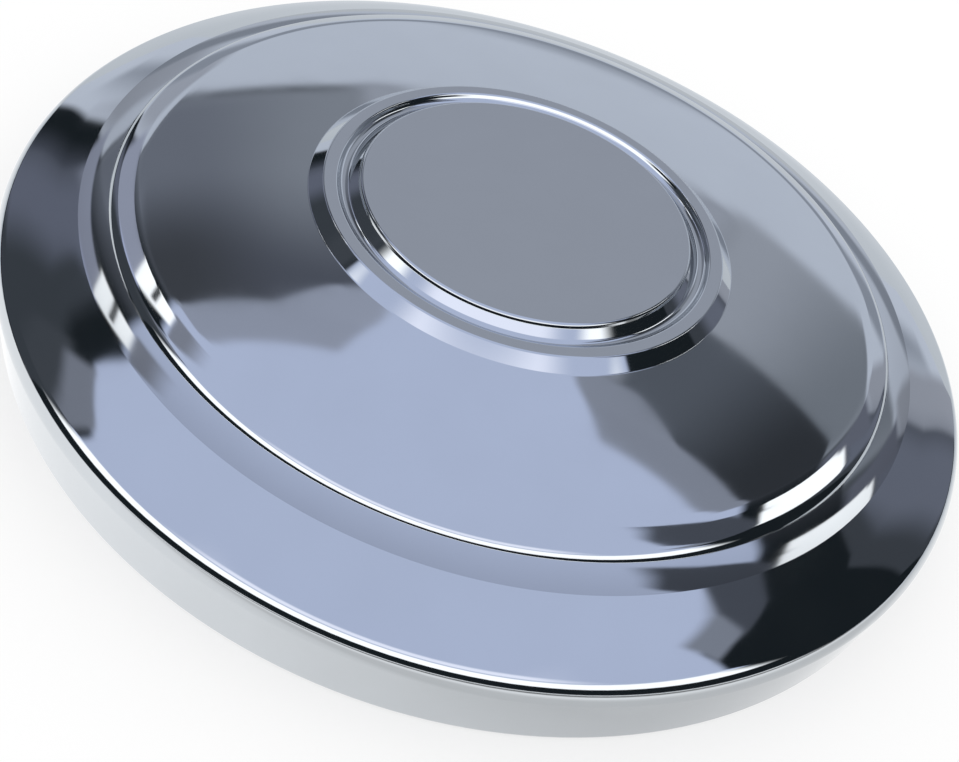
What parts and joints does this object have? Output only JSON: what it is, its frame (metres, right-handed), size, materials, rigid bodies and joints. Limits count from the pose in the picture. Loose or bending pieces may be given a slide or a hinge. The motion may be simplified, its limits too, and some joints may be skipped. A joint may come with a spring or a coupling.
{
  "type": "hubcap",
  "caption": "Round domed chrome hubcap pressed from one sheet, with a raised flat centre disc, a ring, stepped outer beads, a sloping flange and an inturned snap edge round its open back.",
  "frame": {"origin": "centre of the open back, in the plane that the snap edge stands on", "axes": "+Z along the axis of the cap, from the open back to the centre disc"},
  "size_m": [0.26, 0.26, 0.0438],
  "materials": {
    "chrome_plate": "polished chrome plate"
  },
  "bodies": {
    "root": {"hubcap": "chrome_plate"}
  },
  "joints": []
}
